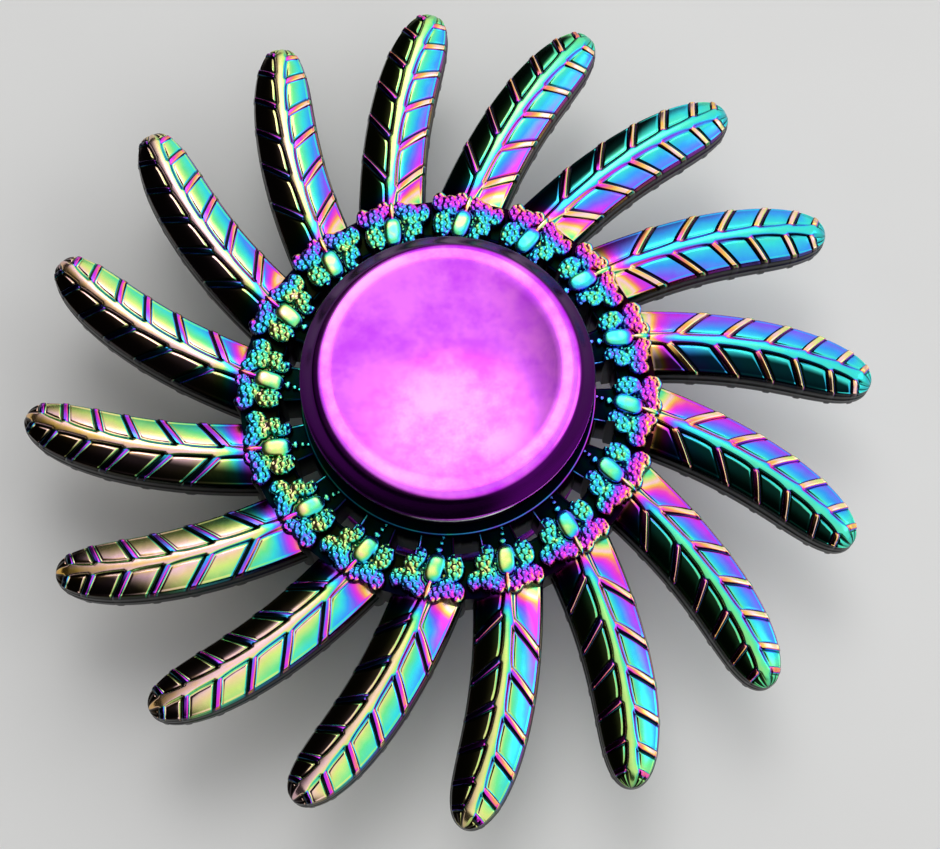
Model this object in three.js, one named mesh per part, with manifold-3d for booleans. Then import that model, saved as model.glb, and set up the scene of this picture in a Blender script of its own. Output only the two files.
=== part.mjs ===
// Fidget spinner: sixteen curved feather blades and a ring of butterfly motifs around a ball bearing.
// Millimetres, +Z up. The origin is on the spin axis, in the plane that the bottom finger cap stands on.
// Heights named "half" or "rise" are measured from the rotor's mid-plane, which it is symmetric about.

import * as THREE from "three";
import { mergeVertices } from "three/addons/utils/BufferGeometryUtils.js";
import Module from "manifold-3d";

const wasm = await Module();
wasm.setup();

// ---- Driving dimensions -------------------------------------------------------------------------

const BLADE_COUNT = 16;
const TIP_RADIUS = 35;
const HEIGHT = 19;
const MID_Z = HEIGHT / 2;
const PITCH = (2 * Math.PI) / BLADE_COUNT;

// 608 ball bearing: 8 mm bore, 22 mm outside, 7 mm wide
const BEARING_BORE_RADIUS = 4;
const BEARING_RADIUS = 11;
const BEARING_HALF = 3.5;
const BALL_COUNT = 7;
const BALL_RADIUS = 3.969 / 2;
const BALL_PITCH_RADIUS = 7.5;
const GROOVE_RADIUS = 2.06;
const INNER_SHOULDER_RADIUS = 6.05;
const OUTER_SHOULDER_RADIUS = 9;
const SHIELD_SEAT_RADIUS = 9.6;
const SHIELD_SEAT_RISE = 2.8;
const SHIELD_INNER_RADIUS = 6.35;
const SHIELD_THICKNESS = 0.3;
const CAGE_INNER_RADIUS = 6.55;
const CAGE_OUTER_RADIUS = 8.45;
const CAGE_SPLIT_RISE = 0.1;
const CAGE_THICKNESS = 0.35;
const CAGE_BALL_CLEARANCE = 0.13;

// Finger caps: a dished pad on a neck that seats on the inner race, with a spigot in its bore
const CAP_RADIUS = 11.8;
const CAP_LAND_INNER_RADIUS = 9.6;
const CAP_LAND_OUTER_RADIUS = 10.3;
const CAP_DISH_DEPTH = 1.25;
const CAP_DISH_BREAK_SHARE = 0.55; // where the dish changes slope, as a share of its radius
const CAP_LIP_WIDTH = 0.45;
const CAP_LIP_DROP = 0.4;
const CAP_BAND_TOP = 17.5;
const CAP_BAND_BOTTOM = 17;
const CAP_FLARE_WIDTH = 0.5;
const CAP_FLARE_DROP = 0.3;
const CAP_NECK_RADIUS = 5.6;
const CAP_NECK_LENGTH = 1;
const CAP_SPIGOT_RADIUS = 3.93;
const CAP_SPIGOT_END = 9.8;
const CAP_HOLE_RADIUS = 2.1;
const CAP_HOLE_TOP = 15;
const SEAT_GAP = 0.02;
const STUD_RADIUS = 2;
const STUD_HALF = 5.1;
const STUD_CHAMFER = 0.4;

// Rotor hub: bearing ring, spoked web with windows, butterfly motifs
const HUB_RING_RADIUS = 12.1;
const PRESS_GAP = 0.05;
const WEB_RADIUS = 17;
const WEB_HALF = 2.6;
const WEB_LAP = 0.5; // how far the web runs into the bearing ring
const WINDOW_INNER_RADIUS = 12.15;
const WINDOW_OUTER_RADIUS = 13.9;
const WINDOW_INNER_WIDTH = 1.95;
const WINDOW_OUTER_WIDTH = 2.35;
const BUTTERFLY_RADIUS = 14.7;
const BUTTERFLY_HALF = 3.55;
const BUTTERFLY_LEAD = THREE.MathUtils.degToRad(16); // a butterfly stands this far ahead of its tip

// One half of a butterfly from the head round its two wings to the tail: distance along its axis,
// then distance from it
const BUTTERFLY_OUTLINE = [
  [-1.2, 0.3],
  [-0.8, 0.8],
  [-1.2, 1.3],
  [-1, 2.2],
  [0.2, 2.35],
  [0.6, 2],
  [1.1, 2.8],
  [2.2, 2.6],
  [2.6, 1.2],
  [2.3, 0.3],
];

// Feather blades, in a frame whose X axis runs from the spin axis through the feather's tip
const FEATHER_HALF_WIDTH = 2.75;
const FEATHER_TAPER = 0.12;
const FEATHER_ROUNDNESS = 7;
const FEATHER_EDGE_HALF = 0.9;
const FEATHER_ROOT_HALF = 2.7;
const FEATHER_TIP_HALF = 1;
const FEATHER_GAP = 0.08;

// The midrib leaves the hub parallel to X, this far to the side, and bends back to the tip
const MIDRIB_ROOT_X = 14.6;
const MIDRIB_ROOT_OFFSET = 4.2;
const MIDRIB_STRAIGHT_END_X = 24;
const MIDRIB_BEND_X = 29.7;
const MIDRIB_BEND_OFFSET = 2.4;
const MIDRIB_TIP_OFFSET = -0.2;

// The side view of a feather: the ridge falls by these drops at these shares of the tip radius
const SHOULDER_SHARE = 0.8;
const SHOULDER_DROP = 0.2;
const BROW_SHARE = 0.94;
const BROW_DROP = 0.9;

// Steps of the round shapes, and how far a cutting shape runs past what it cuts
const ROUND_STEPS = 48;
const CAP_STEPS = 40;
const STUD_STEPS = 16;
const BALL_STEPS = 12;
const BALL_RINGS = 8;
const CAGE_STEPS_PER_BALL = 4;
const GROOVE_STEPS = 4;
const FEATHER_STEPS = 6;
const CUT_MARGIN = 1;
const FEATHER_CUT_MARGIN = 0.5;

// ---- Geometry helpers ---------------------------------------------------------------------------

// A closed three.js geometry as a solid that can be joined and cut.
function solidOf(geometry) {
  const bare = geometry.clone();
  bare.deleteAttribute("normal");
  bare.deleteAttribute("uv");
  const merged = mergeVertices(bare, 1e-4);
  return new wasm.Manifold(
    new wasm.Mesh({
      numProp: 3,
      vertProperties: merged.attributes.position.array,
      triVerts: new Uint32Array(merged.index.array),
    }),
  );
}

// A solid back as a flat-shaded three.js geometry.
function geometryOf(solid) {
  const mesh = solid.getMesh();
  const indexed = new THREE.BufferGeometry();
  indexed.setAttribute("position", new THREE.BufferAttribute(mesh.vertProperties, 3));
  indexed.setIndex(new THREE.BufferAttribute(mesh.triVerts, 1));
  const geometry = indexed.toNonIndexed();
  geometry.computeVertexNormals();
  return geometry;
}

// A solid of revolution about Z. The profile is a list of [radius, z], counter-clockwise around the
// material, and either closes on itself or starts and ends on the axis.
function turned(profile, steps) {
  const points = profile.map(([radius, z]) => new THREE.Vector2(radius, z));
  return new THREE.LatheGeometry(points, steps).rotateX(Math.PI / 2);
}

function turnedRing(profile, steps) {
  return turned([...profile, profile[0]], steps);
}

// A solid disc taller than the spinner, to trim other solids with.
function disc(radius) {
  return turned(
    [
      [0, -CUT_MARGIN],
      [radius, -CUT_MARGIN],
      [radius, HEIGHT + CUT_MARGIN],
      [0, HEIGHT + CUT_MARGIN],
    ],
    ROUND_STEPS,
  );
}

// A flat outline in XY, given a thickness of 2 * half about the mid-plane.
function plate(outline, half) {
  const options = { depth: 2 * half, bevelEnabled: false };
  return new THREE.ExtrudeGeometry(new THREE.Shape(outline), options).translate(0, 0, MID_Z - half);
}

// A geometry turned about the spin axis.
function around(geometry, angle) {
  return geometry.clone().rotateZ(angle);
}

// Points of a ball groove's arc between two angles seen from the ball's centre.
function grooveArc(fromAngle, toAngle) {
  const arc = [];
  for (let i = 0; i <= GROOVE_STEPS; i++) {
    const angle = THREE.MathUtils.lerp(fromAngle, toAngle, i / GROOVE_STEPS);
    const radius = BALL_PITCH_RADIUS + GROOVE_RADIUS * Math.cos(angle);
    arc.push([radius, MID_Z + GROOVE_RADIUS * Math.sin(angle)]);
  }
  return arc;
}

const spinner = new THREE.Group();

function addPiece(name, geometry, colour, roughness, metalness) {
  const material = new THREE.MeshStandardMaterial({ color: colour, roughness, metalness });
  const mesh = new THREE.Mesh(geometry, material);
  mesh.name = name;
  spinner.add(mesh);
  return mesh;
}

// ---- Ball bearing -------------------------------------------------------------------------------

function outerRace() {
  const shoulder = Math.acos((OUTER_SHOULDER_RADIUS - BALL_PITCH_RADIUS) / GROOVE_RADIUS);
  return turnedRing(
    [
      [BEARING_RADIUS, MID_Z - BEARING_HALF],
      [BEARING_RADIUS, MID_Z + BEARING_HALF],
      [SHIELD_SEAT_RADIUS, MID_Z + BEARING_HALF],
      [SHIELD_SEAT_RADIUS, MID_Z + SHIELD_SEAT_RISE],
      [OUTER_SHOULDER_RADIUS, MID_Z + SHIELD_SEAT_RISE],
      ...grooveArc(shoulder, -shoulder),
      [OUTER_SHOULDER_RADIUS, MID_Z - SHIELD_SEAT_RISE],
      [SHIELD_SEAT_RADIUS, MID_Z - SHIELD_SEAT_RISE],
      [SHIELD_SEAT_RADIUS, MID_Z - BEARING_HALF],
    ],
    ROUND_STEPS,
  );
}

function innerRace() {
  const shoulder = Math.acos((BALL_PITCH_RADIUS - INNER_SHOULDER_RADIUS) / GROOVE_RADIUS);
  return turnedRing(
    [
      [BEARING_BORE_RADIUS, MID_Z - BEARING_HALF],
      [INNER_SHOULDER_RADIUS, MID_Z - BEARING_HALF],
      ...grooveArc(Math.PI + shoulder, Math.PI - shoulder),
      [INNER_SHOULDER_RADIUS, MID_Z + BEARING_HALF],
      [BEARING_BORE_RADIUS, MID_Z + BEARING_HALF],
    ],
    ROUND_STEPS,
  );
}

// A flat shield in the seat of the outer race, clear of the inner race.
function shield() {
  const outer = SHIELD_SEAT_RADIUS - PRESS_GAP;
  const bottom = MID_Z + SHIELD_SEAT_RISE + SEAT_GAP;
  const top = bottom + SHIELD_THICKNESS;
  return turnedRing(
    [
      [SHIELD_INNER_RADIUS, bottom],
      [outer, bottom],
      [outer, top],
      [SHIELD_INNER_RADIUS, top],
    ],
    ROUND_STEPS,
  );
}

function ballSphere(index, radius) {
  const sphere = new THREE.SphereGeometry(radius, BALL_STEPS, BALL_RINGS).rotateX(Math.PI / 2);
  return around(sphere.translate(BALL_PITCH_RADIUS, 0, MID_Z), (index * 2 * Math.PI) / BALL_COUNT);
}

function cageBand(bottom, top) {
  return turnedRing(
    [
      [CAGE_INNER_RADIUS, bottom],
      [CAGE_OUTER_RADIUS, bottom],
      [CAGE_OUTER_RADIUS, top],
      [CAGE_INNER_RADIUS, top],
    ],
    CAGE_STEPS_PER_BALL * BALL_COUNT,
  );
}

// The upper half of a pressed ribbon cage: a flat ribbon that rises in a cup over each ball.
function cageHalf() {
  const cupInner = BALL_RADIUS + CAGE_BALL_CLEARANCE;
  const cupOuter = cupInner + CAGE_THICKNESS;
  const bottom = MID_Z + CAGE_SPLIT_RISE;
  let ribbon = solidOf(cageBand(bottom, bottom + CAGE_THICKNESS));
  const cupSpace = solidOf(cageBand(bottom, MID_Z + cupOuter + CUT_MARGIN));
  for (let i = 0; i < BALL_COUNT; i++) {
    ribbon = ribbon.add(solidOf(ballSphere(i, cupOuter)).intersect(cupSpace));
  }
  for (let i = 0; i < BALL_COUNT; i++) {
    ribbon = ribbon.subtract(solidOf(ballSphere(i, cupInner)));
  }
  return geometryOf(ribbon);
}

// ---- Finger caps --------------------------------------------------------------------------------

// The upper cap. The lower one is the same piece turned over.
function fingerCap() {
  const land = HEIGHT;
  const neckEnd = MID_Z + BEARING_HALF + SEAT_GAP;
  const dishBreak = CAP_LAND_INNER_RADIUS * CAP_DISH_BREAK_SHARE;
  const breakDepth = CAP_DISH_DEPTH * (1 - CAP_DISH_BREAK_SHARE ** 2);
  return turned(
    [
      [0, CAP_HOLE_TOP],
      [CAP_HOLE_RADIUS, CAP_HOLE_TOP],
      [CAP_HOLE_RADIUS, CAP_SPIGOT_END],
      [CAP_SPIGOT_RADIUS, CAP_SPIGOT_END],
      [CAP_SPIGOT_RADIUS, neckEnd],
      [CAP_NECK_RADIUS, neckEnd],
      [CAP_NECK_RADIUS, neckEnd + CAP_NECK_LENGTH],
      [CAP_RADIUS - CAP_FLARE_WIDTH, CAP_BAND_BOTTOM - CAP_FLARE_DROP],
      [CAP_RADIUS, CAP_BAND_BOTTOM],
      [CAP_RADIUS, CAP_BAND_TOP],
      [CAP_LAND_OUTER_RADIUS + CAP_LIP_WIDTH, land - CAP_LIP_DROP],
      [CAP_LAND_OUTER_RADIUS, land],
      [CAP_LAND_INNER_RADIUS, land],
      [dishBreak, land - breakDepth],
      [0, land - CAP_DISH_DEPTH],
    ],
    CAP_STEPS,
  );
}

function capStud() {
  return turned(
    [
      [0, MID_Z - STUD_HALF],
      [STUD_RADIUS - STUD_CHAMFER, MID_Z - STUD_HALF],
      [STUD_RADIUS, MID_Z - STUD_HALF + STUD_CHAMFER],
      [STUD_RADIUS, MID_Z + STUD_HALF - STUD_CHAMFER],
      [STUD_RADIUS - STUD_CHAMFER, MID_Z + STUD_HALF],
      [0, MID_Z + STUD_HALF],
    ],
    STUD_STEPS,
  );
}

// ---- Rotor hub ----------------------------------------------------------------------------------

// One through-window of the web, between two butterflies.
function hubWindow() {
  const outline = [
    new THREE.Vector2(WINDOW_INNER_RADIUS, -WINDOW_INNER_WIDTH / 2),
    new THREE.Vector2(WINDOW_OUTER_RADIUS, -WINDOW_OUTER_WIDTH / 2),
    new THREE.Vector2(WINDOW_OUTER_RADIUS, WINDOW_OUTER_WIDTH / 2),
    new THREE.Vector2(WINDOW_INNER_RADIUS, WINDOW_INNER_WIDTH / 2),
  ];
  return plate(outline, WEB_HALF + CUT_MARGIN);
}

// One butterfly on both faces: a body between two pairs of wings. It lies along its feather.
function butterfly() {
  const left = BUTTERFLY_OUTLINE.map(([along, across]) => new THREE.Vector2(along, across));
  const right = left.map((point) => new THREE.Vector2(point.x, -point.y)).reverse();
  const centre = new THREE.Vector2(BUTTERFLY_RADIUS, 0);
  centre.rotateAround(new THREE.Vector2(), BUTTERFLY_LEAD);
  return plate([...left, ...right], BUTTERFLY_HALF).translate(centre.x, centre.y, 0);
}

function rotorHub() {
  const ring = turnedRing(
    [
      [BEARING_RADIUS + PRESS_GAP, MID_Z - BEARING_HALF],
      [HUB_RING_RADIUS, MID_Z - BEARING_HALF],
      [HUB_RING_RADIUS, MID_Z + BEARING_HALF],
      [BEARING_RADIUS + PRESS_GAP, MID_Z + BEARING_HALF],
    ],
    ROUND_STEPS,
  );
  const web = turnedRing(
    [
      [HUB_RING_RADIUS - WEB_LAP, MID_Z - WEB_HALF],
      [WEB_RADIUS, MID_Z - WEB_HALF],
      [WEB_RADIUS, MID_Z + WEB_HALF],
      [HUB_RING_RADIUS - WEB_LAP, MID_Z + WEB_HALF],
    ],
    ROUND_STEPS,
  );
  let hub = solidOf(ring).add(solidOf(web));
  for (let i = 0; i < BLADE_COUNT; i++) {
    hub = hub.subtract(solidOf(around(hubWindow(), BUTTERFLY_LEAD + (i + 0.5) * PITCH)));
  }
  for (let i = 0; i < BLADE_COUNT; i++) {
    hub = hub.add(solidOf(around(butterfly(), i * PITCH)));
  }
  return geometryOf(hub.intersect(solidOf(disc(WEB_RADIUS))));
}

// ---- Feather blades -----------------------------------------------------------------------------

// The midrib ends where the tip radius meets its sideways offset.
const midrib = new THREE.CubicBezierCurve3(
  new THREE.Vector3(MIDRIB_ROOT_X, MIDRIB_ROOT_OFFSET, MID_Z),
  new THREE.Vector3(MIDRIB_STRAIGHT_END_X, MIDRIB_ROOT_OFFSET, MID_Z),
  new THREE.Vector3(MIDRIB_BEND_X, MIDRIB_BEND_OFFSET, MID_Z),
  new THREE.Vector3(Math.sqrt(TIP_RADIUS ** 2 - MIDRIB_TIP_OFFSET ** 2), MIDRIB_TIP_OFFSET, MID_Z),
);

// The feather's width at a share of its length: a slight taper, then a round end.
function halfWidth(share) {
  const taper = 1 - FEATHER_TAPER * share;
  return FEATHER_HALF_WIDTH * taper * Math.sqrt(1 - share ** FEATHER_ROUNDNESS);
}

function featherOutline() {
  const left = [];
  const right = [];
  for (let i = 0; i < FEATHER_STEPS; i++) {
    const share = Math.sin((i / FEATHER_STEPS) * (Math.PI / 2));
    const point = midrib.getPoint(share);
    const heading = midrib.getTangent(share);
    const reach = halfWidth(share);
    left.push(new THREE.Vector2(point.x - heading.y * reach, point.y + heading.x * reach));
    right.unshift(new THREE.Vector2(point.x + heading.y * reach, point.y - heading.x * reach));
  }
  const tip = midrib.getPoint(1);
  return [...left, new THREE.Vector2(tip.x, tip.y), ...right];
}

// A roof-shaped bar on both faces, swept along the midrib and past the feather's outline. The
// section's first axis is vertical.
function featherBar() {
  const reach = FEATHER_HALF_WIDTH + FEATHER_CUT_MARGIN;
  const slope = (FEATHER_ROOT_HALF - FEATHER_EDGE_HALF) / FEATHER_HALF_WIDTH;
  const edgeHalf = FEATHER_ROOT_HALF - slope * reach;
  const section = new THREE.Shape([
    new THREE.Vector2(FEATHER_ROOT_HALF, 0),
    new THREE.Vector2(edgeHalf, reach),
    new THREE.Vector2(-edgeHalf, reach),
    new THREE.Vector2(-FEATHER_ROOT_HALF, 0),
    new THREE.Vector2(-edgeHalf, -reach),
    new THREE.Vector2(edgeHalf, -reach),
  ]);
  const tip = midrib.getPoint(1);
  const beyond = tip.clone().addScaledVector(midrib.getTangent(1), 2 * CUT_MARGIN);
  const path = new THREE.CurvePath();
  path.add(midrib);
  path.add(new THREE.LineCurve3(tip, beyond));
  const options = { steps: FEATHER_STEPS, bevelEnabled: false, extrudePath: path };
  return new THREE.ExtrudeGeometry(section, options);
}

// The side view: a ridge that falls slowly, then steeply near the tip.
function featherSideView() {
  const ridge = [
    [BEARING_RADIUS, FEATHER_ROOT_HALF],
    [TIP_RADIUS * SHOULDER_SHARE, FEATHER_ROOT_HALF - SHOULDER_DROP],
    [TIP_RADIUS * BROW_SHARE, FEATHER_ROOT_HALF - BROW_DROP],
    [TIP_RADIUS + CUT_MARGIN, FEATHER_TIP_HALF],
  ];
  const upper = ridge.map(([x, rise]) => new THREE.Vector2(x, rise));
  const lower = ridge.map(([x, rise]) => new THREE.Vector2(x, -rise)).reverse();
  const depth = TIP_RADIUS;
  const side = new THREE.ExtrudeGeometry(new THREE.Shape([...upper, ...lower]), {
    depth,
    bevelEnabled: false,
  });
  return side.rotateX(Math.PI / 2).translate(0, depth / 2, MID_Z);
}

function feather() {
  const blade = solidOf(featherBar())
    .intersect(solidOf(plate(featherOutline(), FEATHER_ROOT_HALF)))
    .intersect(solidOf(featherSideView()))
    .subtract(solidOf(disc(WEB_RADIUS + FEATHER_GAP)));
  return geometryOf(blade);
}

// ---- Assembly -----------------------------------------------------------------------------------

const STEEL = { colour: 0xb9bcc2, roughness: 0.25, metalness: 1 };
const CAGE_STEEL = { colour: 0x8d9096, roughness: 0.4, metalness: 1 };
const VIOLET_MIRROR = { colour: 0xb026e8, roughness: 0.06, metalness: 1 };
const PLATED_HUB = { colour: 0x3fae9b, roughness: 0.18, metalness: 1 };

// The plating's hue runs once round the spinner, starting from this one
const FIRST_FEATHER_HUE = 0.45;
const FEATHER_SATURATION = 0.6;
const FEATHER_LIGHTNESS = 0.5;
const FEATHER_ROUGHNESS = 0.15;

function addFinished(name, geometry, finish) {
  return addPiece(name, geometry, finish.colour, finish.roughness, finish.metalness);
}

// The same piece under the mid-plane, turned over.
function turnOver(mesh) {
  mesh.rotation.x = Math.PI;
  mesh.position.z = HEIGHT;
}

addFinished("finger_cap_top", fingerCap(), VIOLET_MIRROR);
turnOver(addFinished("finger_cap_bottom", fingerCap(), VIOLET_MIRROR));
addFinished("cap_stud", capStud(), STEEL);

addFinished("bearing_outer_race", outerRace(), STEEL);
addFinished("bearing_inner_race", innerRace(), STEEL);
addFinished("bearing_shield_top", shield(), STEEL);
turnOver(addFinished("bearing_shield_bottom", shield(), STEEL));
addFinished("ball_cage_upper", cageHalf(), CAGE_STEEL);
turnOver(addFinished("ball_cage_lower", cageHalf(), CAGE_STEEL));
for (let i = 0; i < BALL_COUNT; i++) {
  addFinished(`ball_${i + 1}`, ballSphere(i, BALL_RADIUS), STEEL);
}

addFinished("rotor_hub", rotorHub(), PLATED_HUB);
const featherGeometry = feather();
for (let i = 0; i < BLADE_COUNT; i++) {
  const name = `feather_${String(i + 1).padStart(2, "0")}`;
  const hue = (FIRST_FEATHER_HUE + i / BLADE_COUNT) % 1;
  const colour = new THREE.Color().setHSL(hue, FEATHER_SATURATION, FEATHER_LIGHTNESS);
  const mesh = addPiece(name, featherGeometry.clone(), colour, FEATHER_ROUGHNESS, 1);
  mesh.rotation.z = i * PITCH;
}

export default spinner;
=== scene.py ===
import math

import bmesh
import bpy
import numpy as np
from mathutils import Matrix, Vector


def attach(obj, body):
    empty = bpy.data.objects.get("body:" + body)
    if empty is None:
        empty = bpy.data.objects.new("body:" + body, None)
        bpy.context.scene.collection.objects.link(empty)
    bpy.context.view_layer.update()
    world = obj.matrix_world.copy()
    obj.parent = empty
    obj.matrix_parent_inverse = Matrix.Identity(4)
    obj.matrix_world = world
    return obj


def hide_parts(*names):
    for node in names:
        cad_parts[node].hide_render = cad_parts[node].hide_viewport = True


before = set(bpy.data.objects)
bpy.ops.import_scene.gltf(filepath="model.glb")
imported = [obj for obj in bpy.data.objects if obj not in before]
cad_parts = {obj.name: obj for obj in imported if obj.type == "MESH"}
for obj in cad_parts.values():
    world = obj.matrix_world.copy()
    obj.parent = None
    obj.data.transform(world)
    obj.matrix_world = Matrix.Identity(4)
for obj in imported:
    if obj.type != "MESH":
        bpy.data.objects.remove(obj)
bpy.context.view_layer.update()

# ---- Dimensions, in millimetres, in the CAD part's frame ------------------------------------------

MM = 0.001
TINY = 1e-9
HEIGHT = 19.0
MID_Z = HEIGHT / 2
TIP_RADIUS = 35.0
BLADE_COUNT = 16
PITCH = 2 * math.pi / BLADE_COUNT

# feather midrib: a cubic curve in a frame whose X axis runs through the feather's tip
ROOT_X = 14.6
ROOT_OFFSET = 4.2
TIP_OFFSET = -0.2
MIDRIB = np.array([
    (ROOT_X, ROOT_OFFSET),
    (24.0, ROOT_OFFSET),
    (29.7, 2.4),
    (math.sqrt(TIP_RADIUS ** 2 - TIP_OFFSET ** 2), TIP_OFFSET),
])
HALF_WIDTH = 2.75
TAPER = 0.12
ROUNDNESS = 7
TIP_HALF = 1.1
ROOT_RIDGE = 1.35
TIP_BLUNTNESS = 0.9
NOSE_LENGTH = 1.3
NOSE_HALF = 0.5
NOSE_FALL = 0.97
ROOT_RADIUS = 16.8
ROOT_ROW_RADIUS = 17.4

# relief on a feather: pillowed panels between a flat midrib and flat-topped barbs, with grooves beside
PANEL_DROP = 0.85
PANEL_CREST = -0.12
PANEL_START = 0.5
EDGE_BEVEL = 0.24
EDGE_BEVEL_START = 0.94
EDGE_BEVEL_WIDTH = 0.06
EDGE_BEAD = 0.05
EDGE_BEAD_AT = 0.925
EDGE_BEAD_HALF = 0.022
RIB_FLAT = 0.18
RIB_REACH = 0.33
RIB_RISE = 0.16
RIB_PROUD = 0.04
RIB_PROUD_START = 0.75
RIB_GROOVE = 0.4
RIB_BACK_GROOVE = 0.15
RIB_START = 0.42
RIB_START_FADE = 0.14
MIDRIB_FLAT = 0.24
MIDRIB_REACH = 0.46
MIDRIB_RISE = 0.2
MIDRIB_CROWN = 0.06
FLARE_WIDTH = 0.26
FLARE_LENGTH = 0.55
MIDRIB_GROOVE = 0.55
NOTCH_FLOOR = 0.3
NOTCH_LENGTH = 1.3
GROOVE_HALF = 0.065
GROOVE_DEPTH = 0.12
FAN_LENGTH = 1.5
FAN_FADE = 0.5
FAN_LINES = (0.36, 0.74)
FAN_LINE_HALF = 0.07
BARBS_CW = (18.4, 22.1, 25.6, 28.6, 31.5, 33.6)
BARBS_CCW = (19.2, 22.9, 26.3, 29.3, 32.0, 33.9)
SLANT = ((17.0, 2.7), (22.0, 2.5), (27.0, 1.7), (31.0, 1.1), (33.5, 0.6), (35.0, 0.0))
SLANT_CURVE = 1.12
SLANT_LIMIT = 0.9

# the relief layer that the plating reads: 0 in a hollow, 1 on a ridge. The plating paints low
# relief dark as shade, so hollows, grooves and the walls get painted shade
PANEL_RELIEF = 0.6
RIDGE_RELIEF = 0.4
VALLEY_RELIEF = 0.58
WALL_RELIEF = 0.1

# hub
BUTTERFLY_RADIUS = 14.7
BUTTERFLY_LEAD = math.radians(16)
HUB_INNER = 11.05
HUB_RING = 12.1
HUB_OUTER = 17.05
HUB_REACH = 17.6
RING_HALF = 3.5
WEB_HALF = 2.6
WINDOW_INNER = 12.15
WINDOW_OUTER = 13.9
WINDOW_HALF_ANGLE = math.radians(4.72)
WINDOW_RIM_AT = 0.12
WINDOW_RIM_RISE = 0.16
SEAT_RADIUS = 11.6
SEAT_HALF = 0.38
SEAT_BEVEL = 0.12
SEAT_LINE_RADIUS = 12.0
SPOKE_HALF = 1.9
SPOKE_CROWN = 0.35

# bearing: a 608, with its races, shields, balls and the stud through its bore
BALL_COUNT = 7
BALL_RADIUS = 1.9845
BALL_CIRCLE = 7.5
RACE_GROOVE = 2.06
BORE_RADIUS = 4.0
INNER_LAND = 6.05
OUTER_LAND = 9.0
SHIELD_SEAT = 9.6
OUTER_RADIUS = 11.0
LAND_HALF = 2.8
SHIELD_BASE = 2.82
STUD_RADIUS = 2.0
STUD_HALF = 5.1
STUD_CHAMFER = 0.4

# ---- Mesh helpers ---------------------------------------------------------------------------------


def mesh_object(name, verts, faces, attributes=None, domain="POINT"):
    """A smooth mesh from points in millimetres, with one float attribute per entry of attributes."""
    mesh = bpy.data.meshes.new(name)
    points = np.asarray(verts, float) * MM
    mesh.from_pydata(points.tolist(), [], [list(map(int, f)) for f in faces])
    for key, values in (attributes or {}).items():
        layer = mesh.attributes.new(key, "FLOAT", domain)
        layer.data.foreach_set("value", np.asarray(values, np.float32))
    mesh.update()
    mesh.shade_smooth()
    obj = bpy.data.objects.new(name, mesh)
    bpy.context.scene.collection.objects.link(obj)
    return obj


def weld(obj, distance=0.0005):
    """Joins points closer than distance, in millimetres, and turns every face outwards."""
    bm = bmesh.new()
    bm.from_mesh(obj.data)
    bmesh.ops.remove_doubles(bm, verts=bm.verts, dist=distance * MM)
    bmesh.ops.dissolve_degenerate(bm, edges=bm.edges, dist=distance * MM)
    bmesh.ops.recalc_face_normals(bm, faces=bm.faces)
    bm.to_mesh(obj.data)
    bm.free()
    return obj


def face_outwards(obj):
    bm = bmesh.new()
    bm.from_mesh(obj.data)
    bmesh.ops.recalc_face_normals(bm, faces=bm.faces)
    bm.to_mesh(obj.data)
    bm.free()


def turned_points(points, angle):
    c, s = math.cos(angle), math.sin(angle)
    out = points.copy()
    out[:, 0] = points[:, 0] * c - points[:, 1] * s
    out[:, 1] = points[:, 0] * s + points[:, 1] * c
    return out


def rounded(profile, radius, steps=4):
    """A closed profile in which every corner that bends by 20 degrees or more is rounded."""
    out = []
    count = len(profile)
    for i in range(count):
        before = Vector(profile[i - 1])
        here = Vector(profile[i])
        after = Vector(profile[(i + 1) % count])
        a, b = before - here, after - here
        reach = min(radius, a.length * 0.45, b.length * 0.45)
        bend = math.pi - a.angle(b) if a.length > TINY and b.length > TINY else 0
        if bend < math.radians(20) or here.x < TINY:
            out.append(tuple(here))
            continue
        start, end = here + a.normalized() * reach, here + b.normalized() * reach
        for k in range(steps + 1):
            t = k / steps
            out.append(tuple((1 - t) ** 2 * start + 2 * t * (1 - t) * here + t * t * end))
    return out


def turned(name, profile, segments=192):
    """A solid of revolution about Z from a closed profile of (radius, z)."""
    ring = np.array(profile, float)
    n = len(ring)
    angles = np.arange(segments) * 2 * math.pi / segments
    verts = np.stack([
        np.outer(np.cos(angles), ring[:, 0]),
        np.outer(np.sin(angles), ring[:, 0]),
        np.tile(ring[:, 1], (segments, 1)),
    ], axis=-1).reshape(-1, 3)
    faces = []
    for i in range(segments):
        j = (i + 1) % segments
        for k in range(n):
            m = (k + 1) % n
            if ring[k, 0] < TINY and ring[m, 0] < TINY:
                continue
            faces.append((i * n + k, j * n + k, j * n + m, i * n + m))
    return weld(mesh_object(name, verts, faces))


def ride(obj, body, nodes=()):
    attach(obj, body)
    if nodes:
        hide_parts(*nodes)
    return obj


# ---- Feathers -------------------------------------------------------------------------------------


def midrib_at(t):
    """Points and unit headings of the midrib at an array of curve parameters."""
    t = np.asarray(t, float)[:, None]
    p = MIDRIB
    point = ((1 - t) ** 3 * p[0] + 3 * t * (1 - t) ** 2 * p[1]
             + 3 * t * t * (1 - t) * p[2] + t ** 3 * p[3])
    heading = ((1 - t) ** 2 * (p[1] - p[0]) + 2 * t * (1 - t) * (p[2] - p[1])
               + t * t * (p[3] - p[2]))
    return point, heading / np.linalg.norm(heading, axis=1)[:, None]


FINE_T = np.linspace(0, 1, 2001)
FINE_POINT, _ = midrib_at(FINE_T)
FINE_LENGTH = np.concatenate([[0], np.cumsum(np.linalg.norm(np.diff(FINE_POINT, axis=0), axis=1))])
FINE_RADIUS = np.linalg.norm(FINE_POINT, axis=1)
LENGTH = FINE_LENGTH[-1]


def length_at_radius(radius):
    return np.interp(radius, FINE_RADIUS, FINE_LENGTH)


def half_width(t):
    return HALF_WIDTH * (1 - TAPER * t) * np.sqrt(np.clip(1 - t ** ROUNDNESS, 0, 1))


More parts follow.
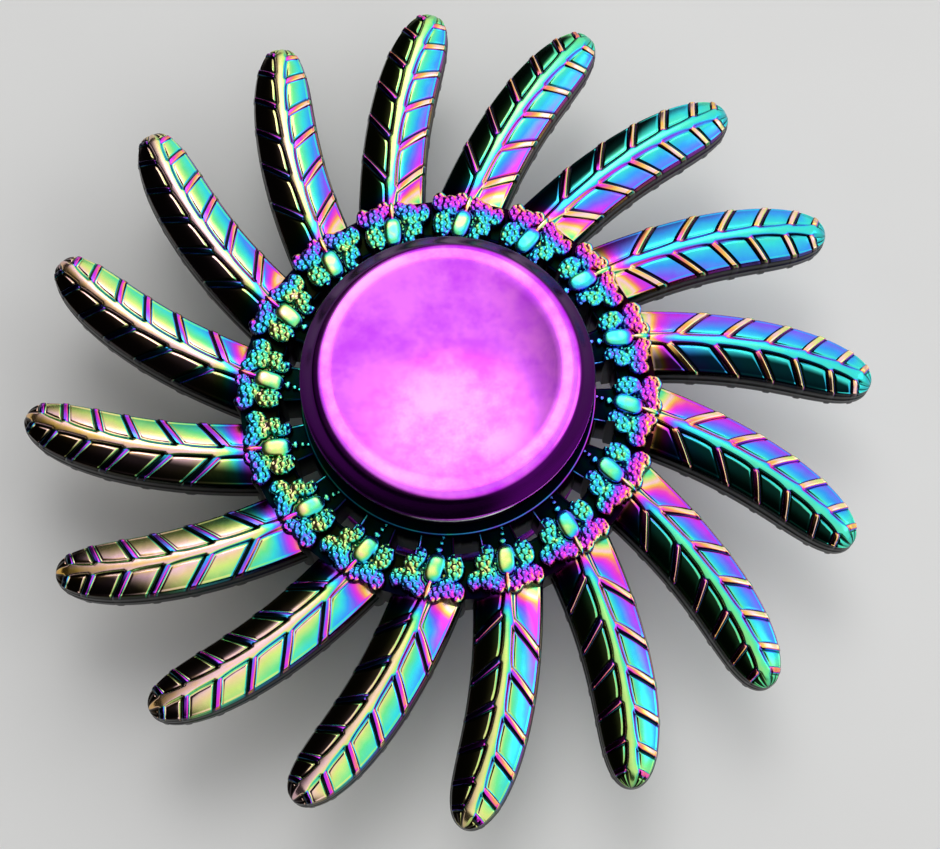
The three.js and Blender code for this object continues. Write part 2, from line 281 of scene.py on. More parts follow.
def plateau(distance, flat, reach):
    """A flat-topped ridge: 1 out to flat, 0 beyond reach, with a smooth shoulder between."""
    t = np.clip((reach - np.abs(distance)) / (reach - flat), 0, 1)
    return t * t * (3 - 2 * t)


def groove(distance, half=GROOVE_HALF):
    return np.exp(-((distance / half) ** 2))


# Rows of the mesh along a feather: beside each barb, between the barbs, and closing up at the tip
BARB_ROWS = np.array([0.62, 0.53, 0.46, RIB_GROOVE, 0.35, 0.29, 0.23, RIB_FLAT, 0.0])
FIRST_ROW = 0.2
ROW_STEP = 0.42
TIP_ROWS_LENGTH = 1.6
TIP_ROWS = 16
LEAST_ROW_GAP = 0.045


def feather_rows(barbs):
    """Distances along the midrib at which the mesh has a row, close together over each barb."""
    rows = [0.0]
    for at, stretch in barbs:
        rows += list(at - BARB_ROWS * stretch) + list(at + BARB_ROWS[:-1] * stretch)
    rows += list(np.arange(FIRST_ROW, LENGTH - TIP_ROWS_LENGTH, ROW_STEP))
    tip_start = math.asin(1 - TIP_ROWS_LENGTH / LENGTH)
    rows += list(LENGTH * np.sin(np.linspace(tip_start, math.pi / 2, TIP_ROWS)))
    rows = sorted(r for r in rows if 0 <= r <= LENGTH)
    kept = [rows[0]]
    for r in rows[1:]:
        if r - kept[-1] > LEAST_ROW_GAP or r == rows[-1]:
            kept.append(r)
    return np.array(kept)


# Lateral stations of a row: an absolute distance near the midrib, then shares of the panel
NEAR_STATIONS = np.array([0.0, 0.12, 0.22, 0.28, 0.34, 0.4, 0.46, 0.5, 0.55, 0.6, 0.66, 0.74])
NEAR_END = NEAR_STATIONS[-1]
NEAR_SHARE = 0.5
PANEL_STATIONS = np.array([0.08, 0.18, 0.29, 0.4, 0.51, 0.62, 0.72, 0.81, 0.87, 0.91, 0.94, 0.965,
                           0.985, 1.0])
# The side wall from the panel's edge down to the parting line: (outwards, share of the edge's height)
WALL = ((0.04, 0.93), (0.065, 0.84), (0.07, 0.5), (0.075, 0.16), (0.12, 0.1), (0.13, 0.0))
# Where a feather's half width is under this, the wall's outward steps shrink with it
NARROW_WIDTH = 0.6


def barb_layers(rows, barbs):
    """Along the midrib: the barbs, their grooves, and the midrib's flare and notch at each barb."""
    barb = np.zeros_like(rows)
    valley = np.zeros_like(rows)
    flare = np.zeros_like(rows)
    notch = np.full_like(rows, NOTCH_FLOOR)
    for at, stretch in barbs:
        off = (rows - at) / stretch
        barb = np.maximum(barb, plateau(off, RIB_FLAT, RIB_REACH))
        valley = np.maximum(valley, groove(off - RIB_GROOVE))
        valley = np.maximum(valley, RIB_BACK_GROOVE * groove(off + RIB_GROOVE))
        before = np.clip(at - rows, 0, None)
        flare = np.maximum(flare, np.exp(-before / FLARE_LENGTH) * np.clip(1 - off / RIB_REACH, 0, 1))
        after = np.clip(rows - at, 0, None)
        notch = np.maximum(notch, np.where(rows > at, np.exp(-after / NOTCH_LENGTH), 0))
    return [row[:, None] for row in (barb, valley, flare, notch)]


def feather_side(side, rows, slant, barbs):
    """One side of a feather's upper face: its points, heights and layers, and what its wall needs."""
    width = half_width(np.interp(rows, FINE_LENGTH, FINE_T))[:, None]
    squeeze = np.minimum(1, width * NEAR_SHARE / NEAR_END)
    near = NEAR_STATIONS[None, :] * squeeze
    panels = near[:, -1:] + (width - near[:, -1:]) * PANEL_STATIONS[None, :]
    lateral = np.concatenate([near, panels], axis=1)
    nominal = np.concatenate([NEAR_STATIONS, NEAR_END + PANEL_STATIONS])[None, :]
    share = lateral / np.maximum(width, TINY)
    share[width[:, 0] < TINY] = 0
    # rows near the root swing round to the hub's rim
    root_row = length_at_radius(ROOT_ROW_RADIUS)
    swing = np.clip(rows / root_row, 0, 1)[:, None]
    rim_y = ROOT_OFFSET + side * lateral
    rim = np.sqrt(np.maximum(ROOT_RADIUS ** 2 - rim_y ** 2, 1)) - ROOT_X
    first_row = root_row + np.interp(root_row, rows, slant) * share ** SLANT_CURVE
    along = rows[:, None] + slant[:, None] * share ** SLANT_CURVE
    along = np.where(rows[:, None] < root_row, rim + (first_row - rim) * swing, along)
    along = np.minimum(along, rows[:, None] + (LENGTH - rows[:, None]) * SLANT_LIMIT)
    t = np.interp(along, FINE_LENGTH, FINE_T)
    reach = share * half_width(t)
    point, heading = midrib_at(t.ravel())
    point = point.reshape(*t.shape, 2)
    heading = heading.reshape(*t.shape, 2)
    normal = np.stack([-heading[..., 1], heading[..., 0]], axis=-1) * side
    barb, valley, flare, notch = barb_layers(rows, barbs)
    # the midrib widens towards each barb, and past the barb a deep notch starts beside it
    edge = np.clip(nominal - FLARE_WIDTH * flare, 0, None)
    crest = plateau(edge, MIDRIB_FLAT, MIDRIB_REACH)
    outside = np.clip((nominal - RIB_START) / RIB_START_FADE, 0, 1)
    gutter = groove(edge - MIDRIB_GROOVE) * (1 - barb) * notch
    # fine lines fan out over the tip
    fan = np.clip((rows - LENGTH + FAN_LENGTH) / FAN_FADE, 0, 1)[:, None]
    lines = sum(groove(share - line, FAN_LINE_HALF) for line in FAN_LINES) * fan
    valley = np.maximum(np.maximum(valley * outside, gutter), lines * outside)
    ridge = TIP_HALF + ROOT_RIDGE * np.sqrt(np.clip(1 - TIP_BLUNTNESS * t ** 4, 0, 1))
    panel = np.clip((lateral - MIDRIB_GROOVE * squeeze)
                    / np.maximum(width - MIDRIB_GROOVE * squeeze, TINY), 0, 1)
    fall = PANEL_DROP * (width / HALF_WIDTH)
    base = ridge - fall * ((panel - PANEL_CREST) / (1 - PANEL_CREST)) ** 2 * (nominal > PANEL_START)
    base = base - EDGE_BEVEL * np.clip((panel - EDGE_BEVEL_START) / EDGE_BEVEL_WIDTH, 0, 1) ** 2
    base = base + EDGE_BEAD * groove(panel - EDGE_BEAD_AT, EDGE_BEAD_HALF)
    crown = MIDRIB_CROWN * np.clip(1 - (nominal / MIDRIB_REACH) ** 2, 0, 1)
    rise = np.maximum(MIDRIB_RISE * crest + crown, RIB_RISE * barb * outside)
    top = base + rise - GROOVE_DEPTH * valley
    nose = np.clip(1 - (LENGTH - along) / NOSE_LENGTH, 0, 1)
    top = NOSE_HALF + (top - NOSE_HALF) * np.sqrt(1 - NOSE_FALL * nose ** 2)
    rib = barb * outside * np.ones_like(t)
    relief = PANEL_RELIEF + RIDGE_RELIEF * np.maximum(crest, rib) - VALLEY_RELIEF * valley
    proud = RIB_PROUD * barb * np.clip((share - RIB_PROUD_START) / (1 - RIB_PROUD_START), 0, 1)
    xy = point + normal * (reach + proud)[..., None]
    return xy, top, relief, rib, normal[:, -1], barb[:, 0], reach[:, -1]


def feather_mesh():
    """Points, faces and surface layers of one feather: closed, and the same on both faces."""
    slant_at = length_at_radius(np.array([s[0] for s in SLANT]))
    slants = [s[1] for s in SLANT]
    barbs = {}
    for side, radii in ((-1, BARBS_CW), (1, BARBS_CCW)):
        places = length_at_radius(np.array(radii))
        lean = np.interp(places, slant_at, slants) / HALF_WIDTH
        barbs[side] = list(zip(places, np.sqrt(1 + lean ** 2)))
    rows = feather_rows(barbs[-1] + barbs[1])
    slant = np.interp(rows, slant_at, slants)
    sides = {side: feather_side(side, rows, slant, barbs[side]) for side in (-1, 1)}
    loop = []
    stations = sides[1][0].shape[1]
    wall_relief = np.full(len(rows), WALL_RELIEF)
    wall_rib = np.zeros(len(rows))
    for sign in (1, -1):
        first, second = (-1, 1) if sign > 0 else (1, -1)
        columns = [(first, j) for j in range(stations - 1, 0, -1)]
        columns += [(second, j) for j in range(stations)]
        for side, j in columns:
            xy, top, relief, rib = sides[side][:4]
            loop.append((xy[:, j], sign * top[:, j], relief[:, j], rib[:, j]))
        xy, top, _, _, normal, barb, reach = sides[second]
        narrow = np.clip(reach / NARROW_WIDTH, 0, 1)[:, None]
        steps = [(out, share_z, sign) for out, share_z in WALL]
        steps += [(out, share_z, -sign) for out, share_z in WALL[-2::-1]]
        for out, share_z, way in steps:
            base = xy[:, -1] - normal * (RIB_PROUD * barb)[:, None] * (1 - share_z)
            loop.append((base + normal * out * narrow, way * top[:, -1] * share_z, wall_relief, wall_rib))
    xy, z, relief, rib = (np.stack(values, axis=1) for values in zip(*loop))
    count = len(loop)
    i, j = np.meshgrid(np.arange(len(rows) - 1), np.arange(count), indexing="ij")
    k = (j + 1) % count
    quads = np.stack([i * count + j, (i + 1) * count + j, (i + 1) * count + k, i * count + k], -1)
    faces = [tuple(q) for q in quads.reshape(-1, 4)]
    faces.append(tuple(range(count)))
    verts = np.concatenate([xy, z[..., None]], axis=-1)
    return verts.reshape(-1, 3), faces, {"relief": relief.ravel(), "rib": rib.ravel()}


def make_feathers(material):
    points, faces, layers = feather_mesh()
    for index in range(BLADE_COUNT):
        placed = turned_points(points, index * PITCH)
        placed[:, 2] += MID_Z
        name = f"feather_{index + 1:02d}"
        obj = weld(mesh_object(f"feather_plumage_{index + 1:02d}", placed, faces, layers))
        obj.data.materials.append(material)
        ride(obj, "rotor", [name])


# ---- Hub ------------------------------------------------------------------------------------------


def dome(a, b, centre, semi, rise, turn=0.0, squareness=2.0, power=0.3):
    """Share of the rise of a domed oval over points (a, b), or nothing outside it."""
    x, y = a - centre[0], b - centre[1]
    c, s = math.cos(turn), math.sin(turn)
    u, v = np.abs(x * c + y * s) / semi[0], np.abs(-x * s + y * c) / semi[1]
    inside = np.clip(1 - (u ** squareness + v ** squareness) ** (4 / squareness), 0, None)
    return np.where(inside > 0, rise * inside ** power, -np.inf)


def beads(a, b, turn, pitch, radius):
    """A honeycomb field of small round grains: 1 on a grain's top, 0 between grains."""
    c, s = math.cos(turn), math.sin(turn)
    a, b = a * c + b * s, -a * s + b * c
    out = np.zeros_like(a)
    row = pitch * math.sqrt(3) / 2
    for shift in (0, 1):
        x = (a / pitch - 0.5 * shift) % 1 - 0.5
        y = (b / (2 * row) - 0.5 * shift) % 1 - 0.5
        d2 = ((x * pitch) ** 2 + (y * 2 * row) ** 2) / radius ** 2
        out = np.maximum(out, np.sqrt(np.clip(1 - d2, 0, 1)))
    return out


# the motif's ground is a low oval plate: centre, half sizes, rise
GROUND_HEIGHT = 2.85
GROUND_PLATE = ((0.75, -0.06), (1.85, 2.3), 0.12)
GROUND_RELIEF = 0.26
MOTIF_BASE = 3.05
MOTIF_STEP = 0.3
BEAD_PITCH = 0.62
BEAD_RADIUS = 0.335
BEAD_RISE = 0.15
LOBE_RELIEF = 0.3
GRAIN_RELIEF = 0.65
PEARL_RELIEF = 0.9
# the web's relief is almost nothing, so the plating paints it near black as shade
WEB_RELIEF = 0.02
# the lobes of a butterfly's wings, in its own frame: centre, half sizes, rise, turn
LOBES = (
    ((-0.56, 1.5), (1.16, 0.84), 0.42, 0.38),
    ((-0.19, -1.68), (1.16, 0.8), 0.42, -0.36),
    ((1.28, 2.4), (0.86, 0.64), 0.26, 0.2),
    ((1.26, 1.42), (0.98, 0.78), 0.36, 0.1),
    ((1.98, 0.82), (0.8, 0.58), 0.3, -0.3),
    ((1.6, -2.52), (0.88, 0.64), 0.26, -0.2),
    ((1.48, -1.42), (1.04, 0.8), 0.36, -0.1),
    ((1.98, -0.66), (0.8, 0.56), 0.3, 0.3),
)
STEM = (1.8, 0.08)
# smooth pieces: centre, half sizes, rise, turn and squareness of the body, the head, the grains on
# the spoke, the stem towards the feather's midrib, and three grains beside the body
PEARLS = (
    ((0.0, 0.03), (1.3, 0.78), 0.54, 0.03, 2.7),
    ((-1.55, -0.17), (0.26, 0.32), 0.2, 0.0, 2.0),
    ((-2.16, -0.17), (0.18, 0.18), 0.1, 0.0, 2.0),
    ((-2.6, -0.17), (0.14, 0.14), 0.02, 0.0, 2.0),
    (STEM, (0.95, 0.23), 0.46, 0.02, 2.0),
    ((-0.42, -0.84), (0.14, 0.13), 0.1, 0.0, 2.0),
    ((-0.06, -0.86), (0.14, 0.13), 0.1, 0.0, 2.0),
    ((0.3, -0.84), (0.14, 0.13), 0.1, 0.0, 2.0),
)


def butterfly_height(a, b):
    """Height above the mid-plane of one butterfly, in its own frame, its relief and its ribs."""
    height = GROUND_HEIGHT + dome(a, b, *GROUND_PLATE)
    relief = np.full_like(a, GROUND_RELIEF)
    rib = np.zeros_like(a)
    for centre, semi, rise, turn in LOBES:
        grains = beads(a - centre[0], b - centre[1], turn, BEAD_PITCH, BEAD_RADIUS)
        lobe = MOTIF_BASE + dome(a, b, centre, semi, rise, turn) + BEAD_RISE * grains
        relief = np.where(lobe > height, LOBE_RELIEF + GRAIN_RELIEF * grains, relief)
        height = np.maximum(height, lobe)
    for centre, semi, rise, turn, squareness in PEARLS:
        pearl = MOTIF_BASE + dome(a, b, centre, semi, rise, turn, squareness)
        relief = np.where(pearl > height, PEARL_RELIEF, relief)
        rib = np.where(pearl > height, float(centre == STEM), rib)
        height = np.maximum(height, pearl)
    return height, relief, rib


def hub_height(radius, angle):
    """Half the hub's thickness at polar points, its relief and ribs, and where a butterfly stands."""
    past_seat = np.clip((np.abs(radius - SEAT_RADIUS) - SEAT_HALF) / SEAT_BEVEL, 0, 1)
    ring = RING_HALF - SEAT_BEVEL * past_seat ** 2
    # a spoke under each butterfly is crowned, and the ground between two of them is lower
    phase = (angle - BUTTERFLY_LEAD + PITCH / 2) % PITCH - PITCH / 2
    spoke = np.clip(1 - (np.abs(phase) * radius / SPOKE_HALF) ** 2, 0, 1)
    web = WEB_HALF - SPOKE_CROWN + SPOKE_CROWN * np.sqrt(spoke)
    # a thin raised rim round each window
    centre = (angle - BUTTERFLY_LEAD) % PITCH - PITCH / 2
    dr = np.maximum(np.maximum(WINDOW_INNER - radius, radius - WINDOW_OUTER), 0)
    da = np.maximum((np.abs(centre) - WINDOW_HALF_ANGLE) * radius, 0)
    lines = plateau(np.hypot(dr, da) - WINDOW_RIM_AT, 0.02, 0.1)
    web = web + WINDOW_RIM_RISE * lines
    height = np.where(radius < HUB_RING, ring, web)
    # a thin painted highlight line on the bearing's seat: the painted shade is lifted there, with no
    # relief in the mesh
    painted_seat_highlight = plateau(radius - SEAT_LINE_RADIUS, 0.02, 0.06)
    raised = WEB_RELIEF + np.where(radius < HUB_RING, 0.35 * painted_seat_highlight, 0.4 * lines)
    x, y = radius * np.cos(angle), radius * np.sin(angle)
    web_only = height.copy()
    ribs = np.zeros_like(height)
    for k in (-1, 0, 1, 2):
        turn = k * PITCH
        c, s = math.cos(turn), math.sin(turn)
        a = x * c + y * s - BUTTERFLY_RADIUS * math.cos(BUTTERFLY_LEAD)
        b = -x * s + y * c - BUTTERFLY_RADIUS * math.sin(BUTTERFLY_LEAD)
        motif, relief, rib = butterfly_height(a, b)
        raised = np.where(motif > height, relief, raised)
        ribs = np.where(motif > height, rib, ribs)
        height = np.maximum(height, motif)
    return height, raised, ribs, height > web_only + MOTIF_STEP


# The hub's polar grid: columns per butterfly, the spacing of rows, and the rows over the outline
HUB_COLUMNS = 84
HUB_ROW_STEP = 0.0725
HUB_ROW_GAP = 0.03
HUB_STEP_HALF = 0.012
OUTLINE_SAMPLES = 80
OUTLINE_LEAST = 0.05
FRINGE_ROWS = 7


def hub_rows(sector):
    """Radii of the rows that are full circles, and of the rows beyond the disc's rim per column."""
    rows = np.arange(HUB_INNER, HUB_OUTER, HUB_ROW_STEP)
    marks = np.array([HUB_RING - HUB_STEP_HALF, HUB_RING + HUB_STEP_HALF, WINDOW_INNER, WINDOW_OUTER,
                      HUB_OUTER])
    rows = rows[np.min(np.abs(rows[:, None] - marks[None, :]), axis=1) > HUB_ROW_GAP]
    radii = np.unique(np.concatenate([rows, marks, [HUB_INNER]]))
    # beyond the disc's rim the rows follow the outline of the butterflies that overhang it
    r, a = np.meshgrid(np.linspace(HUB_OUTER, HUB_REACH, OUTLINE_SAMPLES), sector, indexing="ij")
    outline = np.max(np.where(hub_height(r, a)[3], r, HUB_OUTER + OUTLINE_LEAST), axis=0)
    steps = np.arange(1, FRINGE_ROWS + 1) / FRINGE_ROWS
    return radii, HUB_OUTER + np.outer(steps, outline - HUB_OUTER)


def hub_wall_edges(solid, index):
    """Edges of the grid between a cell that is metal and one that is not, as pairs of points."""
    rows, cols = index.shape
    edges = []
    padded = np.zeros((rows + 1, cols), bool)
    padded[1:rows] = solid
    for row in range(rows):
        inner, outer = padded[row], padded[row + 1]
        for col in np.nonzero(outer & ~inner)[0]:
            edges.append((index[row, col], index[row, (col + 1) % cols]))
        for col in np.nonzero(inner & ~outer)[0]:
            edges.append((index[row, (col + 1) % cols], index[row, col]))
    left = np.roll(solid, 1, axis=1)
    for row, col in zip(*np.nonzero(solid & ~left)):
        edges.append((index[row + 1, col], index[row, col]))
    for row, col in zip(*np.nonzero(left & ~solid)):
        edges.append((index[row, col], index[row + 1, col]))
    return np.array(edges)


def make_hub(material):
    """The cast hub as one closed mesh: a polar grid on both faces, with the windows cut through."""
    angles = np.arange(HUB_COLUMNS * BLADE_COUNT) * PITCH / HUB_COLUMNS
    sector = angles[:HUB_COLUMNS]
    radii, fringe = hub_rows(sector)
    r = np.concatenate([np.tile(radii[:, None], (1, HUB_COLUMNS)), fringe])
    a = np.tile(sector, (len(r), 1))
    height, raised, ribs, r = (np.tile(f, (1, BLADE_COUNT)) for f in (*hub_height(r, a)[:3], r))
    rows, cols = height.shape
    middle_r = (radii[:-1] + radii[1:]) / 2
    middle_a = angles + PITCH / HUB_COLUMNS / 2
    off = (middle_a - BUTTERFLY_LEAD) % PITCH - PITCH / 2
    hole = ((middle_r[:, None] > WINDOW_INNER) & (middle_r[:, None] < WINDOW_OUTER)
            & (np.abs(off)[None, :] < WINDOW_HALF_ANGLE))
    solid = np.ones((rows - 1, cols), bool)
    solid[:len(middle_r)] = ~hole
    total = rows * cols
    index = np.arange(total).reshape(rows, cols)
    x = r * np.cos(angles)[None, :]
    y = r * np.sin(angles)[None, :]
    top = np.stack([x, y, MID_Z + height], -1).reshape(-1, 3)
    bottom = np.stack([x, y, MID_Z - height], -1).reshape(-1, 3)
    i, j = np.nonzero(solid)
    k = (j + 1) % cols
    upper = np.stack([index[i, j], index[i + 1, j], index[i + 1, k], index[i, k]], -1)
    lower = upper[:, ::-1] + total
    start, end = hub_wall_edges(solid, index).T
    side = np.stack([start, end, end + total, start + total], -1)
    faces = np.concatenate([upper, lower, side])
    points = np.concatenate([top, bottom])
    used = np.zeros(len(points), bool)
    used[faces.ravel()] = True
    renumber = np.cumsum(used) - 1
    # the layers are kept per face corner, so that the painted shade on the upright walls reaches their
    # edges
    corners = faces.ravel() % total
    relief = raised.ravel()[corners]
    relief[-side.size:] = WALL_RELIEF
    layers = {"relief": relief, "rib": ribs.ravel()[corners]}
    obj = mesh_object("hub_casting", points[used], renumber[faces], layers, "CORNER")
    obj.data.materials.append(material)
    face_outwards(obj)
    obj.data.set_sharp_from_angle(angle=math.radians(62))
    return ride(obj, "rotor", ["rotor_hub"])


# ---- Finger caps and bearing ----------------------------------------------------------------------

CAP_RADIUS = 11.8
CAP_GROOVE = 11.74
DISH_RADIUS = 9.05
DISH_EDGE = 0.06
DISH_DEPTH = 1.1


def cap_profile():
    """The upper cap from its axis outwards: mirror dish, rolled rim, grooved band, flare and neck."""
    dish = [(r, HEIGHT - DISH_EDGE - DISH_DEPTH * (1 - (r / DISH_RADIUS) ** 2))
            for r in np.linspace(0, DISH_RADIUS, 26)]
    rim = [
        (9.2, 18.962), (9.35, 18.978), (9.5, 18.988), (9.7, 18.996), (9.9, 19.0), (10.15, 18.99),
        (10.38, 18.94), (10.58, 18.84), (10.74, 18.7), (10.92, 18.48), (11.2, 18.14),
        (11.45, 17.84), (11.66, 17.62), (11.76, 17.52),
    ]
    band = [
        (CAP_RADIUS, 17.46), (CAP_RADIUS, 17.38), (CAP_GROOVE, 17.35), (CAP_GROOVE, 17.31),
        (CAP_RADIUS, 17.28), (CAP_RADIUS, 17.2), (CAP_GROOVE, 17.17), (CAP_GROOVE, 17.13),
        (CAP_RADIUS, 17.1), (CAP_RADIUS, 17.03), (CAP_GROOVE, 16.97), (11.55, 16.85), (11.3, 16.7),
    ]
    flare = [(10.2, 16.21), (8.8, 15.6), (7.4, 14.97), (6.4, 14.5), (5.85, 14.22), (5.62, 14.0)]
    neck = [
        (5.6, 13.8), (5.6, 13.12), (5.5, 13.02), (3.93, 13.02), (3.93, 9.95), (3.8, 9.8),
        (2.1, 9.8), (2.1, 15.0), (0.0, 15.0),
    ]
    return dish + rim + band + flare + neck


def make_caps(material):
    profile = cap_profile()
    top = turned("finger_cap_mirror_top", profile, 256)
    flipped = [(r, HEIGHT - z) for r, z in reversed(profile)]
    bottom = turned("finger_cap_mirror_bottom", flipped, 256)
    for obj, node in ((top, "finger_cap_top"), (bottom, "finger_cap_bottom")):
        obj.data.set_sharp_from_angle(angle=math.radians(50))
        obj.data.materials.append(material)
        ride(obj, "caps", [node])


def finish_steel(obj, steel):
    obj.data.materials.append(steel)
    obj.data.set_sharp_from_angle(angle=math.radians(40))


def groove_arc(start, end):
    """The groove that the balls run in, between two angles about a ball's centre."""
    return [(BALL_CIRCLE + RACE_GROOVE * math.cos(a), MID_Z + RACE_GROOVE * math.sin(a))
            for a in np.linspace(start, end, 20)]


def make_races(steel):
    low, high = MID_Z - RING_HALF, MID_Z + RING_HALF
    outer = rounded([
        (OUTER_RADIUS, low), (OUTER_RADIUS, high), (SHIELD_SEAT, high), (SHIELD_SEAT, MID_Z + LAND_HALF),
        (OUTER_LAND, MID_Z + LAND_HALF), (OUTER_LAND, MID_Z - LAND_HALF),
        (SHIELD_SEAT, MID_Z - LAND_HALF), (SHIELD_SEAT, low),
    ], 0.18)
    # the groove goes in where the profile turns down over the land
    split = next(i for i, q in enumerate(outer) if q[1] < MID_Z and q[0] < OUTER_LAND + 0.3)
    shoulder = math.acos((OUTER_LAND - BALL_CIRCLE) / RACE_GROOVE)
    outer = outer[:split] + groove_arc(shoulder, -shoulder) + outer[split:]
    race = turned("race_outer_ground", outer)
    ride(race, "rotor", ["bearing_outer_race"])
    shoulder = math.acos((BALL_CIRCLE - INNER_LAND) / RACE_GROOVE)
    inner = [
        (BORE_RADIUS, high - 0.2), (BORE_RADIUS, low + 0.2), (4.2, low), (5.9, low),
        (INNER_LAND, low + 0.15), *groove_arc(math.pi + shoulder, math.pi - shoulder),
        (INNER_LAND, high - 0.15), (5.9, high), (4.2, high),
    ]
    hub = turned("race_inner_ground", inner)
    ride(hub, "caps", ["bearing_inner_race"])
    for obj in (race, hub):
        finish_steel(obj, steel)


def make_shields(pressed):
    base = MID_Z + SHIELD_BASE
    plate = [
        (6.35, base), (6.9, base), (7.15, base + 0.02), (8.9, base + 0.02), (9.1, base),
        (9.55, base), (9.55, base + 0.3), (9.2, base + 0.3), (9.05, base + 0.24),
        (7.15, base + 0.24), (6.95, base + 0.3), (6.42, base + 0.3), (6.35, base + 0.24),
    ]
    for word, shape in (("top", plate), ("bottom", [(r, HEIGHT - z) for r, z in reversed(plate)])):
        shield = turned(f"shield_pressed_{word}", shape)
        ride(shield, "rotor", [f"bearing_shield_{word}"])
        finish_steel(shield, pressed)


def make_stud(steel):
    """The threaded stud without its thread, which nothing shows: a rod with a chamfer at each end."""
    chamfered = STUD_HALF - STUD_CHAMFER
    stud = turned("stud_turned", [
        (0, MID_Z - STUD_HALF), (STUD_RADIUS - STUD_CHAMFER, MID_Z - STUD_HALF),
        (STUD_RADIUS, MID_Z - chamfered), (STUD_RADIUS, MID_Z + chamfered),
        (STUD_RADIUS - STUD_CHAMFER, MID_Z + STUD_HALF), (0, MID_Z + STUD_HALF),
    ], 96)
    ride(stud, "caps", ["cap_stud"])
    finish_steel(stud, steel)


def make_balls(steel):
    for index in range(BALL_COUNT):
        angle = index * 2 * math.pi / BALL_COUNT
        bm = bmesh.new()
        bmesh.ops.create_icosphere(bm, subdivisions=5, radius=BALL_RADIUS * MM)
        place = Vector((BALL_CIRCLE * math.cos(angle), BALL_CIRCLE * math.sin(angle), MID_Z)) * MM
        bmesh.ops.translate(bm, verts=bm.verts, vec=place)
        mesh = bpy.data.meshes.new(f"ball_lapped_{index + 1}")
        bm.to_mesh(mesh)
        bm.free()
        mesh.shade_smooth()
        mesh.materials.append(steel)
        ball = bpy.data.objects.new(mesh.name, mesh)
        bpy.context.scene.collection.objects.link(ball)
        ride(ball, f"ball_{index + 1}", [f"ball_{index + 1}"])


# ---- Materials ------------------------------------------------------------------------------------


def srgb(r, g, b):
    """A colour given in sRGB, 0 to 255, as linear values."""
    values = [c / 255 for c in (r, g, b)]
    return [c / 12.92 if c <= 0.04045 else ((c + 0.055) / 1.055) ** 2.4 for c in values] + [1]


class Nodes:
    """A material's node tree, built one node at a time. An input named i0, i1... is a number."""

    def __init__(self, tree):
        self.tree = tree
        tree.nodes.clear()

    def put(self, kind, settings=None, **inputs):
        node = self.tree.nodes.new(kind)
        for key, value in (settings or {}).items():
            setattr(node, key, value)
        for key, value in inputs.items():
            numbered = key[0] == "i" and key[1:].isdigit()
            self.feed(node.inputs[int(key[1:]) if numbered else key.replace("_", " ")], value)
        return node

    def feed(self, socket, value):
        if isinstance(value, bpy.types.NodeSocket):
            self.tree.links.new(value, socket)
        else:
            socket.default_value = value

    def maths(self, operation, a, b=0.0, c=0.0):
        return self.put("ShaderNodeMath", {"operation": operation}, i0=a, i1=b, i2=c).outputs[0]

    def vector(self, operation, a, b=(0, 0, 0)):
        node = self.put("ShaderNodeVectorMath", {"operation": operation}, i0=a, i1=b)
        return node.outputs["Value"] if operation in ("DOT_PRODUCT", "LENGTH") else node.outputs[0]

    def spread(self, value, a, b, c=0.0, d=1.0, smooth=True):
        settings = {"interpolation_type": "SMOOTHSTEP" if smooth else "LINEAR"}
        node = self.put("ShaderNodeMapRange", settings, i0=value, i1=a, i2=b, i3=c, i4=d)
        return node.outputs[0]

    def noise(self, place, scale, detail=3.0, rough=0.55):
        node = self.put("ShaderNodeTexNoise", None, Vector=place, Scale=scale, Detail=detail,
                        Roughness=rough)
        return node.outputs["Fac"]

    def mix(self, share, a, b, kind="MIX"):
        node = self.put("ShaderNodeMix", {"data_type": "RGBA", "blend_type": kind}, i0=share)
        self.feed(node.inputs[6], a)
        self.feed(node.inputs[7], b)
        return node.outputs[2]

    def ramp(self, value, stops):
        node = self.put("ShaderNodeValToRGB", None, Fac=value)
        band = node.color_ramp
        while len(band.elements) > 1:
            band.elements.remove(band.elements[-1])
        band.elements[0].position, band.elements[0].color = stops[0]
        for place, colour in stops[1:]:
            band.elements.new(place).color = colour
        return node.outputs[0]

    def bump(self, height, strength, distance):
        node = self.put("ShaderNodeBump", None, Height=height, Strength=strength, Distance=distance)
        return node.outputs["Normal"]

    def level(self, facing):
        """How level a face is: 1 on a flat face, 0 on an upright wall."""
        parts = self.put("ShaderNodeSeparateXYZ", None, i0=facing)
        return self.maths("ABSOLUTE", parts.outputs[2])

    def metal(self, colour, roughness, normal, **more):
        shader = self.put("ShaderNodeBsdfPrincipled", None, Base_Color=colour, Roughness=roughness,
                          Metallic=1.0, **more, Normal=normal)
        self.put("ShaderNodeOutputMaterial", None, Surface=shader.outputs[0])


def material(name):
    made = bpy.data.materials.new(name)
    made.use_nodes = True
    return made, Nodes(made.node_tree)


# The plating's colours in the order in which a thickening film shows them
FILM = (
    (0.00, srgb(255, 206, 214)),
    (0.07, srgb(248, 218, 160)),
    (0.14, srgb(214, 240, 130)),
    (0.24, srgb(110, 236, 150)),
    (0.35, srgb(60, 226, 220)),
    (0.46, srgb(60, 160, 250)),
    (0.57, srgb(128, 96, 250)),
    (0.68, srgb(206, 60, 240)),
    (0.77, srgb(246, 70, 200)),
    (0.85, srgb(250, 140, 110)),
    (0.92, srgb(252, 204, 90)),
    (1.00, srgb(255, 206, 214)),
)

# The film's phase on an upward face at each radius, in millimetres
FILM_PHASE = (
    (12.0, 0.42), (13.3, 0.34), (13.9, 0.26), (14.7, 0.21), (15.3, 0.2), (15.7, 0.32),
    (16.1, 0.48), (16.6, 0.56), (17.0, 0.6), (17.2, 0.67), (17.35, 0.74), (17.7, 0.66),
    (18.1, 0.52), (18.7, 0.33), (19.6, 0.21), (22.0, 0.14), (26.0, 0.12), (30.0, 0.12),
    (33.0, 0.11), (35.0, 0.1),
)
FILM_LEAN_GAIN = 0.56
FILM_TILT_GAIN = 0.5
FILM_AZIMUTH = math.radians(12)
FILM_FEATHER_SHARE = 0.65
